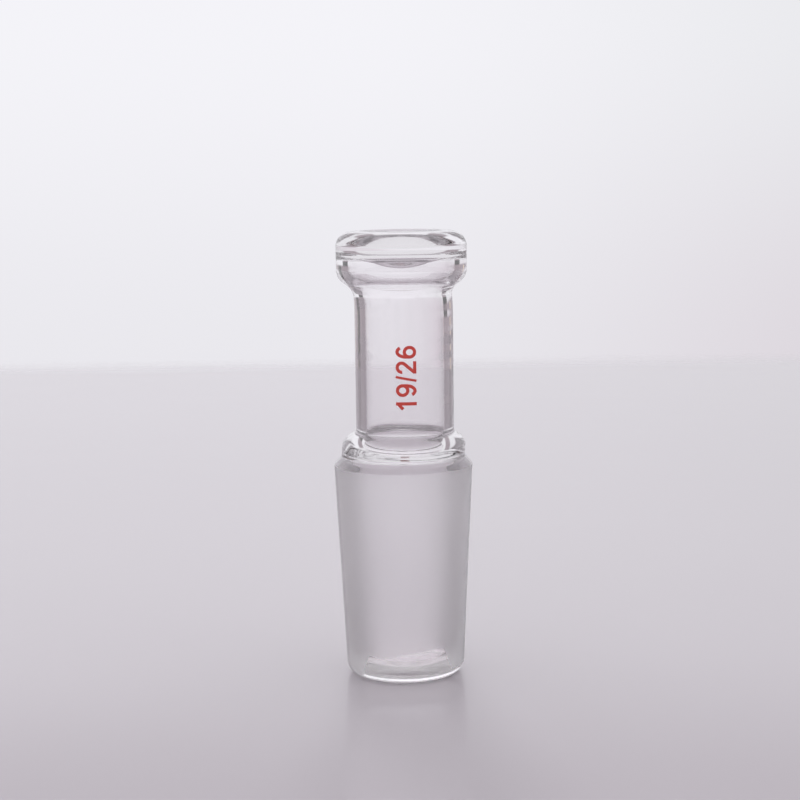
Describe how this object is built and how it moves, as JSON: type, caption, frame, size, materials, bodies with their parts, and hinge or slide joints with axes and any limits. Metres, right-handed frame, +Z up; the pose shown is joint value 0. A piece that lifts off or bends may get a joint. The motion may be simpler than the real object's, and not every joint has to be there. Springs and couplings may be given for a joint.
{
  "type": "glass stopper",
  "caption": "Hollow blown-glass laboratory stopper: ground taper plug, rounded shoulder, plain neck and flanged head, closed at both ends.",
  "frame": {"origin": "centre of the flat base that the stopper stands on, at its small closed end", "axes": "+Z up along the stopper's axis, from the small end of the taper to the head; -Y is the side that carries the size numbers"},
  "size_m": [0.0188, 0.0188, 0.0605],
  "materials": {
    "glass": "clear borosilicate glass, fire-polished, with the taper ground to an even satin frost",
    "print": "fired red enamel, slightly raised and satin"
  },
  "bodies": {
    "root": {"stopper": "glass"}
  },
  "joints": []
}
